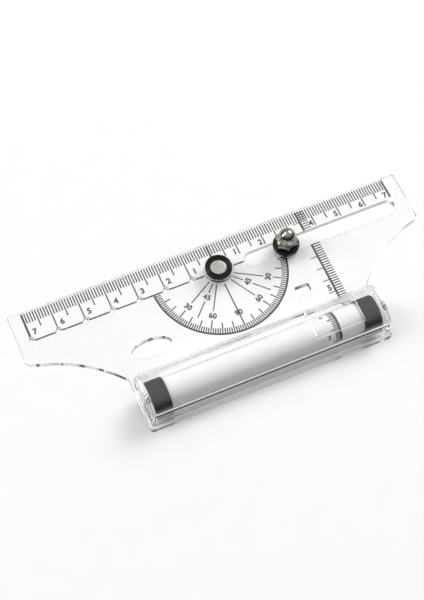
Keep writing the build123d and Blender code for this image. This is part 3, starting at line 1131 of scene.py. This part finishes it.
@dataclass
class Roller(SubAssembly):
    """White tube with its ring scale, between two ribbed rubber rings and black plugs."""

    rib_count: int = 56
    rib_sides: int = 8
    rib_radius: float = 0.24 * MM
    rib_sink: float = 0.2 * MM      # rib tops above the ring between them
    ring_sides: int = 120
    edge_rounding: float = 0.3 * MM
    bore_rounding: float = 0.05 * MM
    crisp_above: float = 50.0       # ring edges sharper than this, in degrees, stay crisp
    ring_line_x: float = 26.8 * MM
    ring_line_width: float = 0.9 * MM
    ticks_per_turn: int = 40
    tick_width: float = 0.5 * MM
    short: float = 2.0 * MM
    long: float = 3.2 * MM
    numerals_per_turn: int = 4
    numeral_x: float = 22.5 * MM
    first_long: float = 10.0        # of a long tick from the top, towards the edge, in degrees
    numeral_angle: float = 38.0     # of the first numeral, counted in the same way
    tall: float = 1.5 * MM

    def build(self) -> None:
        """Makes the rings and their ribs, prints the tube and dresses the rest."""
        for side in Side:
            self.rubber_ring(side)
            dress_node("end_plug_" + side.word, BLACK)
            dress_node("axle_pin_" + side.word, STEEL)
        dress_node("roller_tube", WHITE)
        self.ring_scale()

    def tube_radius(self) -> float:
        """Outside radius of the tube."""
        low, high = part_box("roller_tube")
        return (high.y - low.y) / 2

    def rubber_ring(self, side: Side) -> None:
        """Makes one rubber ring with ribs along it."""
        node = "rubber_ring_" + side.word
        low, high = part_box(node)
        bore = self.tube_radius() + SEAT_GAP
        radius = self.layout.ring_radius
        body = radius - self.rib_sink
        profile = (
            Corner(bore, low.x, self.bore_rounding),
            Corner(body, low.x, self.edge_rounding),
            Corner(body, high.x, self.edge_rounding),
            Corner(bore, high.x, self.bore_rounding),
        )
        centre = self.layout.roller_centre
        ring = turned(node, profile, centre, along_x=True, sides=self.ring_sides)
        ribs = grown(
            node + " ribs",
            RibTree.tree(),
            {
                "Count": self.rib_count,
                "Sides": self.rib_sides,
                "Length": high.x - low.x - 2 * self.edge_rounding,
                "Rib Radius": self.rib_radius,
                "Pitch Radius": radius - self.rib_radius,
                "Centre": centre + Vector((middle(node).x, 0.0, 0.0)),
                "Material": RUBBER.material(),
            },
        )
        name = node + "_ribbed"
        mesh = shade(merged(name, (ring, ribs)), self.crisp_above)
        finish_piece(name, mesh, Body.ROLLER, RUBBER, node)

    def ring_scale(self) -> None:
        """Prints the travel scale round the tube: a line, ticks and numerals."""
        level = self.tube_radius() + INK_GAP + FILM / 2
        centre = self.layout.roller_centre
        printer = Printer(level)
        inner, outer = level - FILM / 2, level + FILM / 2
        start = self.ring_line_x - self.ring_line_width / 2
        end = self.ring_line_x + self.ring_line_width / 2
        corners = ((inner, start), (outer, start), (outer, end), (inner, end))
        profile = [Corner(*corner) for corner in corners]
        printer.add(turned("ring line", profile, centre, along_x=True))
        ticks = Graduations(
            0,
            self.ticks_per_turn - 1,
            turn=(-math.tau / self.ticks_per_turn, 0.0, 0.0),
            seat=(0.0, 0.0, level),
            seat_turn=(0.0, 0.0, -math.pi / 2),
            width=self.tick_width,
            short=self.short,
            middle=self.long,
            long=self.long,
        )
        origin = Matrix.Translation(centre + Vector((self.ring_line_x, 0.0, 0.0)))
        turn = Matrix.Rotation(math.radians(-self.first_long), 4, "X")
        printer.add(ticks.mesh("ring ticks", origin @ turn))
        for number in range(self.numerals_per_turn):
            angle = 360.0 / self.numerals_per_turn * number + self.numeral_angle
            printer.add(self.wrapped_numeral(str(number), angle, level))
        printer.piece("ring_scale_print", Body.ROLLER)

    def wrapped_numeral(self, text: str, angle: float, level: float) -> Mesh:
        """A numeral bent round the tube, at an angle from the top towards the scale edge."""
        mesh = numeral_mesh(text, self.tall)
        centre = self.layout.roller_centre
        for vert in mesh.vertices:
            reach = level + vert.co.z
            turn = math.radians(angle) + vert.co.y / level
            y, z = centre.y + reach * math.sin(turn), centre.z + reach * math.cos(turn)
            vert.co = Vector((self.numeral_x + vert.co.x, y, z))
        return mesh


@dataclass
class Pivot(SubAssembly):
    """Compass pivot: black bezel, turning hub and its nickel disc."""

    boss_rise: float = 0.7 * MM
    sleeve_in: float = 2.25 * MM
    sleeve_out: float = 2.95 * MM
    bezel_floor: float = 0.35 * MM
    bezel_shoulder: float = 0.35 * MM
    step_radius: float = 4.15 * MM
    step_height: float = 0.25 * MM
    groove_share: float = 0.83      # of the bezel's radius
    groove_width: float = 0.28 * MM
    groove_depth: float = 0.16 * MM
    groove_slope: float = 0.04 * MM
    hub_gap: float = 0.1 * MM
    shank: float = 2.2 * MM
    cup_floor: float = 0.25 * MM
    cup_rounding: float = 0.18 * MM
    cup_corner: float = 0.04 * MM
    lip_rounding: float = 0.14 * MM
    disc_edge: float = 0.06 * MM
    crown_start: float = 0.55       # of the disc's radius
    crown_drop: float = 0.015 * MM
    crown_rounding: float = 0.4 * MM
    rounding: float = 0.1 * MM      # of most edges
    inner_rounding: float = 0.05 * MM
    crisp_rounding: float = 0.03 * MM

    def build(self) -> None:
        """Makes the bezel, the hub and the disc, and dresses what is under them."""
        self.bezel()
        self.hub()
        self.disc()
        dress_node("pivot_retainer", STEEL)
        dress_node("foot_pad", RUBBER)

    def bezel(self) -> None:
        """The black ring on the boss, with a fine groove, and its sleeve."""
        low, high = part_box("pivot_bezel")
        radius = (high.x - low.x) / 2
        seat = self.layout.plate_top + self.boss_rise
        hub_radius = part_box("pivot_hub")[1].x + self.hub_gap
        top, shoulder, foot = high.z, high.z - self.step_height, low.z + SEAT_GAP
        groove_out = self.groove_share * radius
        groove_in = groove_out - self.groove_width
        groove_floor = top - self.groove_depth
        floor = seat + self.bezel_floor
        crisp, slope = self.crisp_rounding, self.groove_slope
        profile = (
            Corner(self.sleeve_in, foot),
            Corner(self.sleeve_out, foot, self.rounding),
            Corner(self.sleeve_out, seat + SEAT_GAP),
            Corner(radius, seat + SEAT_GAP, self.rounding),
            Corner(radius, shoulder, self.bezel_shoulder),
            Corner(self.step_radius, shoulder, 2 * crisp),
            Corner(self.step_radius, top, self.rounding),
            Corner(groove_out, top, crisp),
            Corner(groove_out - slope, groove_floor, crisp),
            Corner(groove_in, groove_floor, crisp),
            Corner(groove_in - slope, top, crisp),
            Corner(hub_radius, top, self.cup_rounding / 2),
            Corner(hub_radius, floor, self.inner_rounding),
            Corner(self.sleeve_in, floor, self.rounding),
        )
        mesh = turned("bezel", profile, self.layout.pivot)
        name = "pivot_bezel_turned"
        finish_piece(name, mesh, Body.RULER, BLACK, "pivot_bezel")

    def hub(self) -> None:
        """The black hub with its cup."""
        low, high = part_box("pivot_hub")
        disc_low, disc_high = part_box("pivot_disc")
        cup = disc_high.x + SEAT_GAP
        head = disc_low.z - self.cup_floor
        profile = (
            Corner(0.0, low.z),
            Corner(self.shank, low.z, self.rounding),
            Corner(self.shank, head, self.inner_rounding),
            Corner(high.x, head, self.rounding),
            Corner(high.x, high.z, self.lip_rounding),
            Corner(cup, high.z, self.cup_rounding),
            Corner(cup, disc_low.z, self.cup_corner),
            Corner(0.0, disc_low.z),
        )
        mesh = turned("hub", profile, self.layout.pivot)
        finish_piece("pivot_hub_turned", mesh, Body.PIVOT, BLACK, "pivot_hub")

    def disc(self) -> None:
        """The nickel disc, very slightly crowned."""
        low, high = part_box("pivot_disc")
        radius = high.x
        profile = (
            Corner(0.0, low.z + SEAT_GAP),
            Corner(radius, low.z + SEAT_GAP),
            Corner(radius, high.z - self.disc_edge, self.inner_rounding),
            Corner(radius * self.crown_start, high.z - self.crown_drop, self.crown_rounding),
            Corner(0.0, high.z),
        )
        mesh = turned("disc", profile, self.layout.pivot)
        name = "pivot_disc_turned"
        finish_piece(name, mesh, Body.PIVOT, SATIN_NICKEL, "pivot_disc")


@dataclass
class Slider(SubAssembly):
    """Radius slider: clamp disc, guide, screw and foot, with a domed cap nut."""

    bore: float = 2.05 * MM
    under_rounding: float = 0.2 * MM
    top_rounding: float = 0.32 * MM
    nut_rounding: float = 0.18 * MM

    def build(self) -> None:
        """Makes the clamp disc and the nut, and dresses the rest."""
        dress_node("slider_foot", CLEAR)
        dress_node("slider_guide", BLACK)
        dress_node("slider_screw", STEEL)
        self.clamp_disc()
        self.nut()

    def clamp_disc(self) -> None:
        """The black disc under the nut."""
        low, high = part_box("slider_disc")
        radius = (high.y - low.y) / 2
        centre = Vector((high.x - radius, middle("slider_disc").y, 0.0))
        profile = (
            Corner(self.bore, low.z),
            Corner(radius, low.z, self.under_rounding),
            Corner(radius, high.z, self.top_rounding),
            Corner(self.bore, high.z),
        )
        mesh = turned("clamp disc", profile, centre)
        name = "slider_disc_turned"
        finish_piece(name, mesh, Body.SLIDER, BLACK, "slider_disc")

    def nut(self) -> None:
        """The nickel cap nut with softened corners."""
        name = "cap_nut_plated"
        mesh = softened_copy("cap_nut", name, self.nut_rounding, SEAT_GAP)
        finish_piece(name, mesh, Body.NUT, NICKEL, "cap_nut")


# ---------------------------------------------------------------- studio


def outward(azimuth: float, elevation: float) -> Vector:
    """Unit vector at an azimuth from -Y towards +X and at an elevation, in degrees."""
    turn, rise = math.radians(azimuth), math.radians(elevation)
    flat = math.cos(rise)
    return Vector((math.sin(turn) * flat, -math.cos(turn) * flat, math.sin(rise)))


@dataclass
class Lamp:
    """One soft box: where it stands, what it faces and how strong it is."""

    name: str
    azimuth: float
    elevation: float
    distance: float
    size: tuple
    watts: float


@dataclass
class Studio:
    """Pale table, plain soft light and the camera."""

    aim: tuple = (-7.01, 7.41, 3.5)     # millimetres
    distance: float = 503.24 * MM
    azimuth: float = 26.3               # the view is turned this far from +Y towards +X
    elevation: float = 63.24
    roll: float = 2.9
    lens: float = 86.6
    film_width: float = 36.0
    clip: tuple = (0.01, 20.0)
    table_half: float = 3.0
    table_steps: int = 8
    bounces: int = 9
    bright_side: tuple = (0.15, 0.35, 0.92)
    room_levels: tuple = (0.06, 0.78)
    room_facing: tuple = (0.25, 0.95)   # cosines to the bright side that the levels belong to
    lamps: tuple = (
        Lamp("key_box", 118.0, 38.0, 2.4, (1.3, 1.0), 31.0),
        Lamp("left_box", -110.0, 35.0, 2.4, (0.7, 1.2), 18.0),
        Lamp("top_box", 216.0, 58.0, 2.4, (0.9, 0.9), 10.0),
    )

    def build(self) -> None:
        """Sets the table, the light and the camera."""
        self.floor()
        self.sky()
        for lamp in self.lamps:
            self.lamp(lamp)
        self.camera()
        scene = bpy.context.scene
        scene.view_settings.view_transform = "Standard"
        scene.cycles.max_bounces = 2 * self.bounces
        scene.cycles.transmission_bounces = 2 * self.bounces
        scene.cycles.glossy_bounces = self.bounces

    def floor(self) -> None:
        """The table top that the ruler stands on."""
        bm = bmesh.new()
        steps = self.table_steps
        bmesh.ops.create_grid(bm, x_segments=steps, y_segments=steps, size=self.table_half)
        obj = new_object("table_top", mesh_from("table_top", bm))
        obj.data.materials.append(FLOOR.material())

    def sky(self) -> None:
        """Soft room light: bright overhead and behind, dim towards the front."""
        world = bpy.data.worlds.new("soft room")
        bpy.context.scene.world = world
        world.use_nodes = True
        world.node_tree.nodes.clear()
        bench = NodeBench(world.node_tree)
        direction = bench.add("ShaderNodeTexCoord").outputs["Generated"]
        facing = bench.add(
            "ShaderNodeVectorMath",
            {0: direction, 1: Vector(self.bright_side).normalized()},
            operation="DOT_PRODUCT",
        ).outputs["Value"]
        inputs = {"Value": facing}
        for end, span in (("From", self.room_facing), ("To", self.room_levels)):
            inputs[end + " Min"], inputs[end + " Max"] = span
        level = bench.out("ShaderNodeMapRange", inputs)
        light = bench.add("ShaderNodeBackground", {"Color": (1, 1, 1, 1), "Strength": level})
        bench.add("ShaderNodeOutputWorld", {"Surface": light.outputs[0]})

    def lamp(self, lamp: Lamp) -> None:
        """Hangs one soft box."""
        data = bpy.data.lights.new(lamp.name, "AREA")
        data.shape = "RECTANGLE"
        data.size, data.size_y = lamp.size
        data.energy = lamp.watts
        obj = new_object(lamp.name, data)
        out = outward(lamp.azimuth, lamp.elevation)
        obj.location = out * lamp.distance
        obj.rotation_mode = "QUATERNION"
        obj.rotation_quaternion = (-out).to_track_quat("-Z", "Y")

    def camera(self) -> None:
        """Places the camera."""
        data = bpy.data.cameras.new("camera")
        data.lens = self.lens
        data.sensor_width = self.film_width
        data.dof.use_dof = False
        data.clip_start, data.clip_end = self.clip
        obj = new_object("camera", data)
        ahead = -outward(-self.azimuth, self.elevation)
        level = ahead.to_track_quat("-Z", "Y")
        obj.rotation_mode = "QUATERNION"
        obj.rotation_quaternion = Quaternion(ahead, -math.radians(self.roll)) @ level
        obj.location = Vector(self.aim) * MM - ahead * self.distance
        bpy.context.scene.camera = obj


def main() -> None:
    """Builds the ruler's pieces in order, then the studio round them."""
    logging.basicConfig(level=logging.INFO, format="%(name)s: %(message)s")
    layout = Layout()
    for maker in (ClearBody, EdgeScale, Protractor, CrossScale, Roller, Pivot, Slider):
        maker(layout).build()
    Studio().build()


if __name__ == "__main__":
    main()
